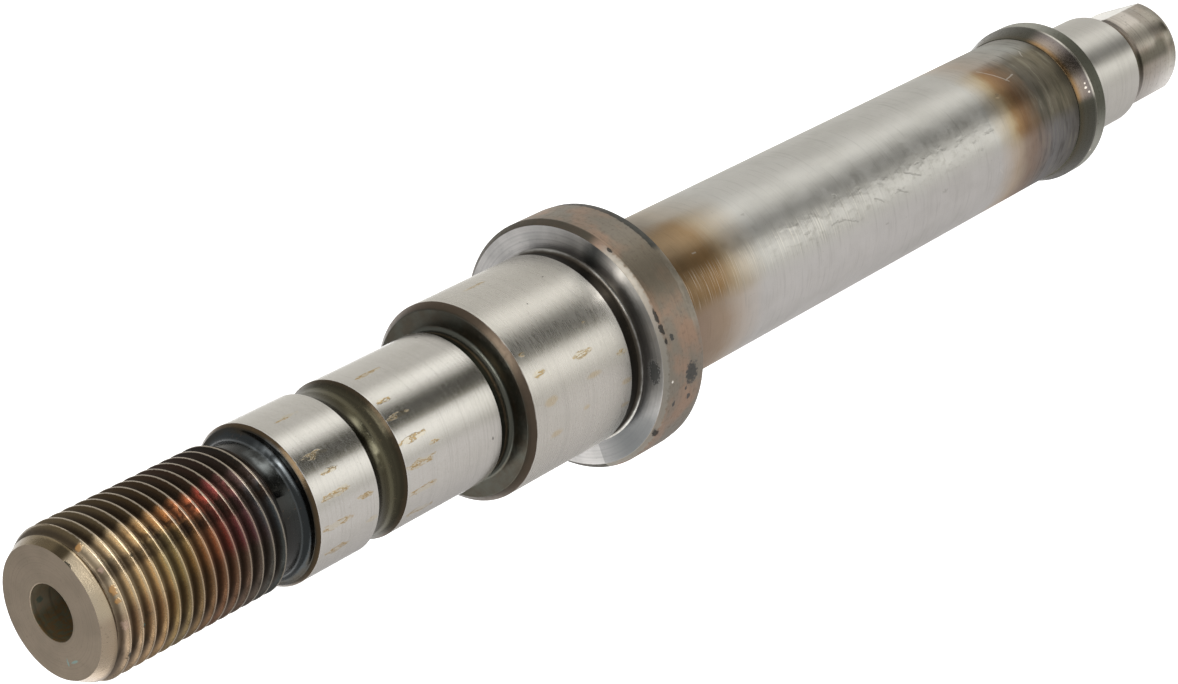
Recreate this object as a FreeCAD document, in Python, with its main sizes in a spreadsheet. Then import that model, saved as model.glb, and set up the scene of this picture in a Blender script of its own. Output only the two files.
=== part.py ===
import FreeCAD, Part

import math
import os

import Sketcher

# A one-piece turned pump shaft, in millimetres. Along its own axis, from the
# threaded end to the drive end, it has: a drilled end face with a 30 degree
# lead chamfer, a thread length, a relief neck, two hub seats parted by a ring
# groove, a bearing seat, a big collar, a long ground shank, a small collar
# with a conical front, a ground journal, a neck and a drive end with two
# flats. The fine thread itself is a plain cylinder here, at its crest size.
# A shaft rolls when it lies down, so it stands on its drive end.

SIZES = {
    # threaded end, its crests inside the hub seats, so that a hub passes over them
    "thread_clearance": 0.635,
    "thread_length": 22.6,
    "lead_depth": 1.215,
    "lead_angle": 30,
    # blind drilled hole in its face
    "bore_dia": 5.7,
    "bore_depth": 22.0,
    "bore_tip_angle": 118,
    # relief neck between the thread and the hub seats
    "relief_width": 2.9,
    "relief_depth": 0.865,
    "relief_round": 0.9,
    # hub seats and the round-bottomed ring groove between them
    "hub_dia": 17.0,
    "hub_chamfer": 0.4,
    "front_hub_length": 8.4,
    "ring_width": 3.55,
    "ring_round": 2.5,
    "ring_lip": 0.55,
    "rear_hub_length": 14.55,
    # bearing seat, with an undercut before each of its two shoulders
    "hub_undercut_width": 1.9,
    "seat_dia": 22.0,
    "seat_chamfer": 0.7,
    "seat_length": 16.0,
    "seat_undercut_width": 1.95,
    "undercut_depth": 0.4,
    "undercut_round": 0.5,
    # big collar: a chamfer in front, a slightly tapered band behind
    "collar_dia": 28.4,
    "collar_chamfer": 0.55,
    "collar_width": 5.35,
    "collar_band_width": 1.0,
    "collar_band_drop": 0.1,
    # long shank, and small collar with a conical front
    "shank_dia": 19.0,
    "shank_length": 85.9,
    "shank_round": 0.5,
    "cone_step": 0.1,
    "cone_length": 2.7,
    "small_collar_height": 0.95,
    "small_collar_width": 2.3,
    # journal, and a drive end inside it, so that a bearing passes over that end to the journal
    "journal_dia": 15.0,
    "journal_length": 14.2,
    "journal_chamfer": 0.2,
    "drive_clearance": 0.6,
    "drive_neck_width": 2.0,
    "drive_neck_depth": 0.4,
    "drive_length": 9.1,
    "drive_round": 0.3,
    "flat_depth": 0.9,
}

# the most of a wall that the round at its foot takes up
ROUND_SHARE = 0.9

doc = FreeCAD.newDocument("PumpShaft")
sheet = doc.addObject("Spreadsheet::Sheet", "Sizes")
for row, (word, number) in enumerate(SIZES.items(), start=1):
    sheet.set(f"A{row}", word)
    sheet.set(f"B{row}", str(number))
    sheet.setAlias(f"B{row}", word)
doc.recompute()


class Length:
    """A length as a number, to draw with, and as a formula on the sheet, to bind with."""

    def __init__(self, number, formula):
        self.number = number
        self.formula = formula

    def __add__(self, other):
        return Length(self.number + other.number, f"{self.formula} + {other.formula}")

    def __sub__(self, other):
        return Length(self.number - other.number, f"{self.formula} - ({other.formula})")

    def __mul__(self, share):
        return Length(self.number * share, f"({self.formula}) * {share}")

    def __eq__(self, other):
        return self.formula == other.formula

    def within(self, wall):
        """This length as a round's, where the wall that the round stands against has room."""
        most = wall * ROUND_SHARE
        return Length(min(self.number, most.number), f"min({self.formula}; {most.formula})")


def size(word):
    return Length(SIZES[word], f"<<Sizes>>.{word}")


def radius(word):
    return Length(SIZES[word] / 2, f"<<Sizes>>.{word} / 2")


# stations along the axis, each one length after the last
START = AXIS = Length(0.0, "0")
thread_end = size("thread_length")
hub_start = thread_end + size("relief_width")
ring_start = hub_start + size("front_hub_length")
ring_end = ring_start + size("ring_width")
hub_end = ring_end + size("rear_hub_length")
seat_start = hub_end + size("hub_undercut_width")
seat_end = seat_start + size("seat_length")
collar_start = seat_end + size("seat_undercut_width")
band_start = collar_start + size("collar_width")
shank_start = band_start + size("collar_band_width")
cone_start = shank_start + size("shank_length")
small_collar_start = cone_start + size("cone_length")
journal_start = small_collar_start + size("small_collar_width")
journal_end = journal_start + size("journal_length")
drive_start = journal_end + size("drive_neck_width")
drive_end = drive_start + size("drive_length")

# radii out from the axis, each tied to the seat that it belongs with
hub, seat, collar = radius("hub_dia"), radius("seat_dia"), radius("collar_dia")
crest = hub - size("thread_clearance")
face = crest - size("lead_depth")
relief = crest - size("relief_depth")
hub_foot = hub - size("undercut_depth")
seat_foot = seat - size("undercut_depth")
collar_band = collar - size("collar_band_drop")
shank = radius("shank_dia")
cone = shank + size("cone_step")
small_collar = shank + size("small_collar_height")
journal = radius("journal_dia")
drive = journal - size("drive_clearance")
drive_neck = drive - size("drive_neck_depth")
flat = drive - size("flat_depth")

# the lead chamfer runs from the face's rim out to the crests, at the lead angle to the axis
lead_end = Length(
    SIZES["lead_depth"] / math.tan(math.radians(SIZES["lead_angle"])),
    "<<Sizes>>.lead_depth / tan(<<Sizes>>.lead_angle * 1 deg)",
)
# the drill's point goes this far past the full bore
bore_point = size("bore_depth") + Length(
    SIZES["bore_dia"] / 2 / math.tan(math.radians(SIZES["bore_tip_angle"] / 2)),
    "<<Sizes>>.bore_dia / 2 / tan(<<Sizes>>.bore_tip_angle * 0.5 deg)",
)


def origin_plane(body, role):
    return next(plane for plane in body.Origin.OriginFeatures if plane.Role == role)


def bind(sketch, constraint, length, name):
    """Add a constraint of a size, under a name, and tie it to the sheet."""
    sketch.renameConstraint(sketch.addConstraint(constraint), name)
    sketch.setExpression(f"Constraints.{name}", length.formula)


def hollow_arc(a, b, bend):
    """The shorter arc from a to b of the given radius, hollow as seen from outside."""
    half = (b - a) * 0.5
    away = FreeCAD.Vector(-half.y, half.x, 0).normalize()
    centre = a + half + away * math.sqrt(bend**2 - half.Length**2)
    angles = [math.atan2(p.y - centre.y, p.x - centre.x) for p in (a, b)]
    return Part.ArcOfCircle(Part.Circle(centre, FreeCAD.Vector(0, 0, 1), bend), *angles)


def closed_profile(body, label, corners, bend=None):
    """A closed outline in the plane of the axis: x along the axis, y out from it.

    With a bend, the first side is an arc of that radius that dips towards the axis.
    """
    sketch = body.newObject("Sketcher::SketchObject", label)
    sketch.AttachmentSupport = [(origin_plane(body, "XZ_Plane"), "")]
    sketch.MapMode = "FlatFace"
    points = [FreeCAD.Vector(x.number, y.number, 0) for x, y in corners]
    count = len(points)
    for i in range(count):
        a, b = points[i], points[(i + 1) % count]
        side = hollow_arc(a, b, bend.number) if bend and i == 0 else Part.LineSegment(a, b)
        sketch.addGeometry(side, False)
    for i in range(count):
        sketch.addConstraint(Sketcher.Constraint("Coincident", i, 2, (i + 1) % count, 1))
    # a level or upright side hands its height or its place on to the next corner
    level, upright = set(), set()
    for i in range(1 if bend else 0, count - 1):
        if corners[i][1] == corners[i + 1][1]:
            sketch.addConstraint(Sketcher.Constraint("Horizontal", i))
            level.add(i + 1)
        elif corners[i][0] == corners[i + 1][0]:
            sketch.addConstraint(Sketcher.Constraint("Vertical", i))
            upright.add(i + 1)
    for i, (x, y) in enumerate(corners):
        if i not in upright:
            if x == START:
                sketch.addConstraint(Sketcher.Constraint("PointOnObject", i, 1, -2))
            else:
                along = Sketcher.Constraint("DistanceX", -1, 1, i, 1, x.number)
                bind(sketch, along, x, f"along{i}")
        if i not in level:
            if y == AXIS:
                sketch.addConstraint(Sketcher.Constraint("PointOnObject", i, 1, -1))
            else:
                out = Sketcher.Constraint("DistanceY", -1, 1, i, 1, y.number)
                bind(sketch, out, y, f"out{i}")
    if bend:
        bind(sketch, Sketcher.Constraint("Radius", 0, bend.number), bend, "bend")
    doc.recompute()
    return sketch


def cut_with(body, feature, before, least):
    """Make a cut the body's tip, and see that it took metal away."""
    body.Tip = feature
    doc.recompute()
    if not body.Shape.Volume < before - least:
        raise RuntimeError(f"{feature.Label} cut nothing")


def groove(body, label, corners, bend=None):
    """A cut turned all the way round the axis."""
    before = body.Shape.Volume
    outline = closed_profile(body, f"{label}Outline", corners, bend)
    feature = body.newObject("PartDesign::Groove", label)
    feature.Profile = outline
    feature.ReferenceAxis = (outline, ["H_Axis"])
    feature.Angle = 360
    cut_with(body, feature, before, 0.1)


def rim(shape, station, out):
    """The name of the circular edge round the axis at a station, with a radius."""
    for number, edge in enumerate(shape.Edges, start=1):
        circle = edge.Curve
        if not isinstance(circle, Part.Circle):
            continue
        middle = circle.Center
        apart = math.dist((middle.x, middle.y, middle.z), (station.number, 0, 0))
        if apart < 1e-4 and abs(circle.Radius - out.number) < 1e-4:
            return f"Edge{number}"
    raise RuntimeError(f"no rim at {station.number:.2f} with radius {out.number:.2f}")


def dress(body, kind, label, station, out, length):
    """A chamfer or a fillet of a length, on the rim at a station with a radius."""
    base = body.Tip
    feature = body.newObject(f"PartDesign::{kind}", label)
    feature.Base = (base, [rim(base.Shape, station, out)])
    feature.setExpression("Size" if kind == "Chamfer" else "Radius", length.formula)
    body.Tip = feature
    doc.recompute()


shaft = doc.addObject("PartDesign::Body", "pump_shaft")
shaft.Label = "pump_shaft"

# the stepped blank, turned about the axis
outline = closed_profile(shaft, "BlankOutline", [
    (START, face),
    (lead_end, crest),
    (hub_start, crest),
    (hub_start, hub),
    (seat_start, hub),
    (seat_start, seat),
    (collar_start, seat),
    (collar_start, collar),
    (band_start, collar),
    (shank_start, collar_band),
    (shank_start, shank),
    (cone_start, shank),
    (cone_start, cone),
    (small_collar_start, small_collar),
    (journal_start, small_collar),
    (journal_start, journal),
    (journal_end, journal),
    (journal_end, drive_neck),
    (drive_start, drive_neck),
    (drive_start, drive),
    (drive_end, drive),
    (drive_end, AXIS),
    (START, AXIS),
])
blank = shaft.newObject("PartDesign::Revolution", "Blank")
blank.Profile = outline
blank.ReferenceAxis = (outline, ["H_Axis"])
blank.Angle = 360
shaft.Tip = blank
doc.recompute()

# relief neck, from the last crest to the first hub shoulder
groove(shaft, "ThreadRelief", [
    (thread_end, relief),
    (hub_start, relief),
    (hub_start, hub),
    (thread_end, hub),
])
# ring groove between the hub seats, with a chamfered lip on its far side
groove(shaft, "RingGroove", [
    (ring_start, hub),
    (ring_end, hub - size("ring_lip")),
    (ring_end + size("ring_lip"), hub),
    (ring_end + size("ring_lip"), seat),
    (ring_start, seat),
], bend=size("ring_round"))
# undercuts at the feet of the bearing seat's shoulder and of the collar
groove(shaft, "HubUndercut", [
    (hub_end, hub),
    (hub_end + size("undercut_depth"), hub_foot),
    (seat_start, hub_foot),
    (seat_start, seat),
    (hub_end, seat),
])
groove(shaft, "SeatUndercut", [
    (seat_end, seat),
    (seat_end + size("undercut_depth"), seat_foot),
    (collar_start, seat_foot),
    (collar_start, collar),
    (seat_end, collar),
])
# blind axial hole in the threaded end, with a drill point
groove(shaft, "EndBore", [
    (START, AXIS),
    (START, radius("bore_dia")),
    (size("bore_depth"), radius("bore_dia")),
    (bore_point, AXIS),
])

# chamfers that lead into each seat, and the broken rim of the journal
dress(shaft, "Chamfer", "HubChamfer", hub_start, hub, size("hub_chamfer"))
dress(shaft, "Chamfer", "SeatChamfer", seat_start, seat, size("seat_chamfer"))
dress(shaft, "Chamfer", "CollarChamfer", collar_start, collar, size("collar_chamfer"))
dress(shaft, "Chamfer", "JournalChamfer", journal_end, journal, size("journal_chamfer"))

# rounds at the feet of the shoulders, each within its wall, and on the drive end's far rim
for label, station, out, word, wall in (
    ("ReliefRound", hub_start, relief, "relief_round", hub - size("hub_chamfer") - relief),
    ("HubFootRound", seat_start, hub_foot, "undercut_round",
     seat - size("seat_chamfer") - hub_foot),
    ("SeatFootRound", collar_start, seat_foot, "undercut_round",
     collar - size("collar_chamfer") - seat_foot),
    ("ShankRound", shank_start, shank, "shank_round", collar_band - shank),
):
    dress(shaft, "Fillet", label, station, out, size(word).within(wall))
dress(shaft, "Fillet", "DriveRound", drive_end, drive, size("drive_round"))

# two parallel flats on the drive end, milled from its far face back to the neck
flats = shaft.newObject("Sketcher::SketchObject", "FlatsOutline")
flats.AttachmentSupport = [(origin_plane(shaft, "YZ_Plane"), "")]
flats.MapMode = "FlatFace"
flats.setExpression("AttachmentOffset.Base.z", drive_end.formula)
reach = drive + drive
wide = reach.number
for name, side in (("upper", 1), ("lower", -1)):
    first = flats.GeometryCount
    low, high = side * flat.number, side * wide
    ring = [FreeCAD.Vector(*p, 0) for p in ((-wide, low), (wide, low), (wide, high), (-wide, high))]
    for i in range(4):
        flats.addGeometry(Part.LineSegment(ring[i], ring[(i + 1) % 4]), False)
    for i in range(4):
        here, after = first + i, first + (i + 1) % 4
        flats.addConstraint(Sketcher.Constraint("Coincident", here, 2, after, 1))
    flats.addConstraint(Sketcher.Constraint("Symmetric", first, 1, first, 2, -2))
    for i, way in enumerate(("Vertical", "Horizontal", "Vertical"), start=1):
        flats.addConstraint(Sketcher.Constraint(way, first + i))
    across = Sketcher.Constraint("DistanceX", first, 1, first, 2, 2 * wide)
    bind(flats, across, reach + reach, f"{name}_width")
    for what, corner, length in (("flat", first, flat), ("reach", first + 2, reach)):
        ends = (-1, 1, corner, 1) if side > 0 else (corner, 1, -1, 1)
        height = Sketcher.Constraint("DistanceY", *ends, length.number)
        bind(flats, height, length, f"{name}_{what}")
doc.recompute()
before = shaft.Shape.Volume
milled = shaft.newObject("PartDesign::Pocket", "DriveFlats")
milled.Profile = flats
milled.setExpression("Length", size("drive_length").formula)
cut_with(shaft, milled, before, 1)

# upright on the drive end, with the threaded end up and the flats facing front and back
upright = FreeCAD.Rotation(FreeCAD.Vector(0, 0, 1), -90).multiply(
    FreeCAD.Rotation(FreeCAD.Vector(0, 1, 0), 90)
)
shaft.Placement = FreeCAD.Placement(FreeCAD.Vector(0, 0, drive_end.number), upright)
shaft.setExpression("Placement.Base.z", drive_end.formula)
doc.recompute()

for item in doc.Objects:
    if "Invalid" in item.State or "Error" in item.State:
        raise RuntimeError(f"{item.Label} did not compute: {item.State}")
if shaft.Shape.isNull() or not shaft.Shape.isValid() or len(shaft.Shape.Solids) != 1:
    raise RuntimeError(f"{shaft.Label} is not one sound solid")

os.makedirs("parts", exist_ok=True)
shaft.Shape.exportStep(f"parts/{shaft.Label}.step")
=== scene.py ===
"""A turned and ground steel pump shaft, standing on its drive end, in metres.

Lengths are in millimetres in the classes of the shaft, its finishes and the card, and in metres
in those of the camera, the lamps and the floor. A station is a distance along the shaft from the
threaded end's face, and a clock reading is an angle round it in degrees, clockwise as seen from
that end. A tone is a colour as a screen shows it, 0 to 255.
"""

import logging
import math
from collections.abc import Callable
from dataclasses import dataclass, field
from enum import Enum
from functools import reduce

import bpy
from mathutils import Matrix, Vector

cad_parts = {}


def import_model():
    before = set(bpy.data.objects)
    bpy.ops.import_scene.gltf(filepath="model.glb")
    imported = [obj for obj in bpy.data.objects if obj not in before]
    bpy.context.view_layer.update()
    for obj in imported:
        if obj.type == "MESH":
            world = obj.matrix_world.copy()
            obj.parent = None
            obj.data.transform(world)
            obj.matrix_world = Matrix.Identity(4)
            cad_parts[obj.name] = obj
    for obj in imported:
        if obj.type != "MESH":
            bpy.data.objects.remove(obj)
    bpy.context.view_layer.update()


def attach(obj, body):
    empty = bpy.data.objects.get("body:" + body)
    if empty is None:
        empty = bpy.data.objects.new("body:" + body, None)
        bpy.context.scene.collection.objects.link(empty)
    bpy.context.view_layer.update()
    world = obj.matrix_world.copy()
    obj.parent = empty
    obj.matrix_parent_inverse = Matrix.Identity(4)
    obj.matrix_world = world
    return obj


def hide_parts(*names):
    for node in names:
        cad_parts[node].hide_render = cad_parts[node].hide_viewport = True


LOG = logging.getLogger("pump_shaft")
MM = 0.001
TINY = 1e-6
QUARTER_TURN = 0.25
SHAFT_LENGTH = 194.4
FLAT_CLOCK = 11.5  # clock reading of the front flat, which faces -Y

Colour = tuple[float, float, float, float]  # linear, with alpha
Tone = tuple[int, int, int]
Stop = tuple[float, int, int, int]  # a station and the tone there
Spot = tuple[float, float, float, float]  # middle's station and clock, half length and half turn
Scratch = tuple[float, float, float, float]  # station and clock of its start and of its end
Stops = tuple[Stop, ...]
Spots = tuple[Spot, ...]
Material = bpy.types.Material
FaceMark = tuple[float, float, float, float, Tone]  # radius, clock, half width, half turn, tone
# clock, half turn and strength of a painted wedge of reflection on a turned face
PaintedFan = tuple[float, float, float]  # clock, half turn, strength: light above 0 and dark below


def linear(tone: Tone) -> Colour:
    """Change a tone into a node's colour.

    Args:
        tone: the tone, 0 to 255.

    Returns:
        The linear colour, with full alpha.
    """
    shares = [part / 255 for part in tone]
    parts = [share / 12.92 if share <= 0.04045 else ((share + 0.055) / 1.055) ** 2.4
             for share in shares]
    return (*parts, 1.0)


def outward(clock: float) -> Vector:
    """The direction out from the shaft's axis at a clock reading."""
    turn = math.radians(clock - FLAT_CLOCK)
    return Vector((-math.sin(turn), -math.cos(turn), 0.0))


def point_on_shaft(station: float, radius: float, clock: float) -> Vector:
    """A point of the shaft in metres, from its station, radius and clock reading."""
    return outward(clock) * (radius * MM) + Vector((0, 0, (SHAFT_LENGTH - station) * MM))


def placed(name: str, data: "bpy.types.ID") -> bpy.types.Object:
    """Put a new object in the scene.

    Args:
        name: its name.
        data: its mesh, camera or light.

    Returns:
        The object.
    """
    made = bpy.data.objects.new(name, data)
    bpy.context.scene.collection.objects.link(made)
    return made


def skinned(name: str, points: list[tuple[float, ...]], faces: list[tuple[int, ...]],
            materials: list[Material]) -> bpy.types.Object:
    """A new mesh object.

    Args:
        name: its name.
        points: its points, in metres.
        faces: the numbers of each face's points.
        materials: what it is made of.

    Returns:
        The object, in the scene.
    """
    mesh = bpy.data.meshes.new(name)
    mesh.from_pydata(points, [], faces)
    for material in materials:
        mesh.materials.append(material)
    return placed(name, mesh)


class Zone(Enum):
    """The differently finished zones of the one piece, in the order of their material slots."""

    BORE = 0
    END_FACE = 1
    THREAD = 2
    RELIEF = 3
    FRONT_HUB = 4
    RING_GROOVE = 5
    REAR_HUB = 6
    UNDERCUT = 7
    SEAT = 8
    COLLAR_FACE = 9
    COLLAR = 10
    SHANK = 11
    SMALL_COLLAR = 12
    JOURNAL = 13
    DRIVE = 14


# Shader maths.

def operator(kind: str, turned: bool = False) -> "Callable[[Value, Number], Value]":
    """Make an operator of Value.

    Args:
        kind: the operation of the Math node that it adds.
        turned: whether the two sides change places.

    Returns:
        The operator, as a method.
    """
    def work(this: "Value", other: "Number") -> "Value":
        """The node's output."""
        sides = (other, this) if turned else (this, other)
        return this.tree.math(kind, *sides)
    return work


class Value:
    """A number or colour that varies: one output socket, with Python's operators."""

    def __init__(self, tree: "NodeTree", socket: "bpy.types.NodeSocket | None") -> None:
        """Wrap an output socket of a node tree; an output node has none."""
        self.tree = tree
        self.socket = socket

    __add__ = __radd__ = operator("ADD")
    __sub__ = operator("SUBTRACT")
    __rsub__ = operator("SUBTRACT", turned=True)
    __mul__ = __rmul__ = operator("MULTIPLY")
    __truediv__ = operator("DIVIDE")
    __rtruediv__ = operator("DIVIDE", turned=True)
    __pow__ = operator("POWER")
    __rpow__ = operator("POWER", turned=True)
    at_least = operator("MAXIMUM")
    at_most = operator("MINIMUM")

    def __neg__(self) -> "Value":
        """Minus this."""
        return self * -1.0

    def __abs__(self) -> "Value":
        """The size of this without its sign."""
        return self.tree.math("ABSOLUTE", self)

    def rise(self, low: float, high: float) -> "Value":
        """0 up to low and 1 from high, with a smooth step between; low may be above high."""
        return self.tree.node(
            "ShaderNodeMapRange", {"interpolation_type": "SMOOTHSTEP"},
            {0: self, 1: low, 2: high, 3: 0.0, 4: 1.0})

    def band(self, low: float, high: float, soft: float) -> "Value":
        """1 between low and high, falling to 0 over a soft edge on either side."""
        return self.rise(low - soft, low + soft) * self.rise(high + soft, high - soft)


Number = Value | float
Layer = tuple[Value, Tone] | tuple[Value, Tone, str]


class NodeTree:
    """The node tree of a material or a world, filled through one method."""

    def __init__(self, owner: "Material | bpy.types.World") -> None:
        """Empty the owner's node tree."""
        owner.use_nodes = True
        self.nodes, self.links = owner.node_tree.nodes, owner.node_tree.links
        self.nodes.clear()

    def node(self, kind: str, settings: dict[str, object],
             inputs: dict[int | str, object], output: int | str = 0) -> Value:
        """Any node.

        Args:
            kind: the node's type.
            settings: its properties, set before its sockets; "stops" fills a colour ramp.
            inputs: numbers, linear colours or Values, by the socket's place or name.
            output: the output that is wanted, by place or name.

        Returns:
            That output.
        """
        made = self.nodes.new(kind)
        for word, setting in settings.items():
            if word == "stops":
                elements = made.color_ramp.elements
                elements.remove(elements[-1])
                elements[0].position, elements[0].color = setting[0]
                for position, colour in setting[1:]:
                    elements.new(position).color = colour
            else:
                setattr(made, word, setting)
        for place, given in inputs.items():
            if isinstance(given, Value):
                self.links.new(given.socket, made.inputs[place])
            else:
                made.inputs[place].default_value = given
        return Value(self, made.outputs[output] if made.outputs else None)

    def math(self, operation: str, *inputs: Number) -> Value:
        """A Math node with that operation and those inputs."""
        return self.node("ShaderNodeMath", {"operation": operation}, dict(enumerate(inputs)))

    def mix(self, share: Number, first: Value | Tone, second: Value | Tone,
            how: str = "MIX") -> Value:
        """Mix two colours.

        Args:
            share: 0 for the first colour and 1 for the second.
            first, second: the colours.
            how: the kind of mixing.

        Returns:
            The mixed colour.
        """
        sides = [side if isinstance(side, Value) else linear(side) for side in (first, second)]
        return self.node("ShaderNodeMix", {"data_type": "RGBA", "blend_type": how},
                         {"Factor": share, 6: sides[0], 7: sides[1]}, 2)

    def painted(self, tone: Value | Tone, *layers: Layer) -> Value:
        """Paint layers over a tone.

        Args:
            tone: what lies under them.
            layers: each how much of it shows, its own tone and maybe its kind of mixing.

        Returns:
            The painted colour.
        """
        for share, over, *how in layers:
            tone = self.mix(share, tone, over, *how)
        return tone

    def ramp(self, value: Value, stops: list[tuple[float, Colour]]) -> Value:
        """Make a colour that follows a value.

        Args:
            value: the value.
            stops: each a value and the colour there, in rising order.

        Returns:
            The colour.
        """
        low, high = stops[0][0], stops[-1][0]
        share = (value - low) / (high - low)
        shares = [((at - low) / (high - low), colour) for at, colour in stops]
        return self.node("ShaderNodeValToRGB", {"stops": shares}, {0: share})

    def send(self, shader: Value, output: str = "ShaderNodeOutputMaterial") -> None:
        """Send a shader to the tree's output."""
        self.node(output, {}, {"Surface": shader})


class FinishTree(NodeTree):
    """A material's node tree, with the shaft's own coordinates ready to use."""

    def __init__(self, name: str) -> None:
        """Start an empty material of that name."""
        self.material = bpy.data.materials.new(name)
        super().__init__(self.material)
        self.place = self.node("ShaderNodeTexCoord", {}, {}, "Object")
        across_x, self.across_y, height = (
            self.node("ShaderNodeSeparateXYZ", {}, {0: self.place}, part) * (1 / MM)
            for part in range(3))
        self.station = SHAFT_LENGTH - height
        self.radius = (across_x * across_x + self.across_y * self.across_y) ** 0.5
        turn = self.math("ARCTAN2", -across_x, -self.across_y)
        self.clock = turn * (180 / math.pi) + FLAT_CLOCK

    def along(self, stops: Stops, station: Value | None = None) -> Value:
        """The tone at a station, between stops."""
        return self.ramp(self.station if station is None else station,
                         [(stop[0], linear(stop[1:])) for stop in stops])

    def noise(self, across: float, along: float, detail: float = 3.0, rough: float = 0.55,
              seed: float = 0.0) -> Value:
        """Noise on the surface, about 0.5 on average.

        Args:
            across: how many grains there are in a millimetre round the shaft.
            along: how many in a millimetre along it.
            detail: how many finer layers it has.
            rough: how strong those are.
            seed: moves the pattern.

        Returns:
            The noise.
        """
        grains = (across / MM, across / MM, along / MM)
        where = self.node("ShaderNodeVectorMath", {"operation": "MULTIPLY_ADD"},
                          {0: self.place, 1: grains, 2: (seed, seed, seed)})
        return self.node("ShaderNodeTexNoise", {"noise_dimensions": "3D"}, {
            "Vector": where, "Scale": 1.0, "Detail": detail, "Roughness": rough})

    def spotted(self, spots: Spots, warp: Number = 0.0, full: float = 0.6,
                none: float = 1.1, across: Value | None = None) -> Value:
        """Marks on the surface.

        Args:
            spots: where they are.
            warp: added to the distance from a spot's middle, so that its edge is ragged.
            full: the share of a spot's size inside which its mark is full.
            none: the share beyond which there is none.
            across: what the spots' stations are measured by, if not by the station.

        Returns:
            1 in a mark and 0 beside it.
        """
        across = self.station if across is None else across
        squares = [((across - at) / half_length) ** 2 + ((self.clock - clock) / half_turn) ** 2
                   for at, clock, half_length, half_turn in spots]
        return (reduce(Value.at_most, squares) ** 0.5 + warp).rise(none, full)

    def scratched(self, scratches: tuple[Scratch, ...], radius: float, width: float,
                  warp: Value) -> Value:
        """Thin scratches.

        Args:
            scratches: where they run.
            radius: the radius of the surface, in mm.
            width: half their width, in mm.
            warp: bends them, in mm.

        Returns:
            1 in a scratch and 0 beside it.
        """
        a_degree = math.radians(radius)
        squares = []
        for station, clock, last_station, last_clock in scratches:
            run = (last_station - station, (last_clock - clock) * a_degree)
            along = self.station - station + warp
            around = (self.clock - clock) * a_degree + warp
            share = (along * run[0] + around * run[1]) / math.hypot(*run) ** 2
            share = share.at_least(0.0).at_most(1.0)
            squares.append((along - share * run[0]) ** 2 + (around - share * run[1]) ** 2)
        return (reduce(Value.at_most, squares) ** 0.5).rise(width * 1.6, width * 0.5)

    def finish(self, base: Value, metallic: Number, roughness: Number,
               bumps: list[tuple[Value, float]], stretched: float = 0.0) -> Material:
        """End the tree in a surface shader.

        Args:
            base: the base colour.
            metallic: how metallic it is.
            roughness: how rough it is.
            bumps: heights, each with its depth in mm.
            stretched: how far highlights are drawn out along the shaft by the grinding.

        Returns:
            The material.
        """
        inputs = {"Base Color": base, "Metallic": metallic, "Roughness": roughness,
                  "Anisotropic": stretched, "Anisotropic Rotation": QUARTER_TURN}
        for height, depth in bumps:
            below = {"Normal": inputs["Normal"]} if "Normal" in inputs else {}
            inputs["Normal"] = self.node("ShaderNodeBump", {}, {
                "Strength": 1.0, "Distance": depth * MM, "Height": height, **below})
        self.send(self.node("ShaderNodeBsdfPrincipled", {}, inputs))
        return self.material


# Finishes.

@dataclass(frozen=True)
class GroundSteel:
    """Ground steel: fine rings of the wheel, dried oil stains and small dark nicks."""

    name: str
    tone: Tone = (205, 203, 199)
    stains: Spots = ()
    smears: Spots = ()
    nicks: Spots = ()
    roughness: float = 0.20

    def build(self) -> Material:
        """Build the material.

        Returns:
            The material.
        """
        tree = FinishTree(self.name)
        rings = tree.noise(0.06, 5.0, detail=2.0)
        hairs = tree.noise(0.6, 9.0, detail=2.0, seed=14.0)
        cloud = tree.noise(0.30, 0.12, detail=4.0, seed=5.0)
        grit = tree.noise(5.0, 5.0, detail=2.0, seed=2.0)
        layers = [(cloud.rise(0.35, 0.75) * 0.22, (178, 176, 166)),
                  (rings.rise(0.45, 0.75) * 0.14, (140, 138, 134)),
                  (grit.rise(0.60, 0.78) * 0.25, (120, 116, 108))]
        bumps = [(rings, 0.0008), (grit, 0.0012)]
        if self.smears:
            wavy = (tree.noise(0.8, 0.5, seed=11.0) - 0.5) * 1.6
            layers.append((tree.spotted(self.smears, wavy, 0.4) * 0.45, (194, 172, 128)))
        if self.stains:
            wavy = (tree.noise(1.6, 0.9, seed=3.0) - 0.5) * 1.8
            inside = tree.spotted(self.stains, wavy, 0.75, 1.15)
            contour = tree.noise(1.5, 0.42, seed=8.0)
            lines = abs(contour - 0.5).rise(0.045, 0.012) + abs(contour - 0.58).rise(0.03, 0.01)
            line = lines.at_most(1.0) * inside
            layers += [(inside * 0.24, (210, 194, 150)), (line * 0.76, (168, 138, 78))]
            bumps.append((line, 0.010))
        if self.nicks:
            nick = tree.spotted(self.nicks, (grit - 0.5) * 1.2, 0.7)
            layers.append((nick * 0.85, (52, 48, 46)))
        rough = self.roughness + (cloud - 0.5) * 0.06 + (hairs - 0.5) * 0.22
        return tree.finish(tree.painted(self.tone, *layers), 1.0, rough, bumps, stretched=0.75)


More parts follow.
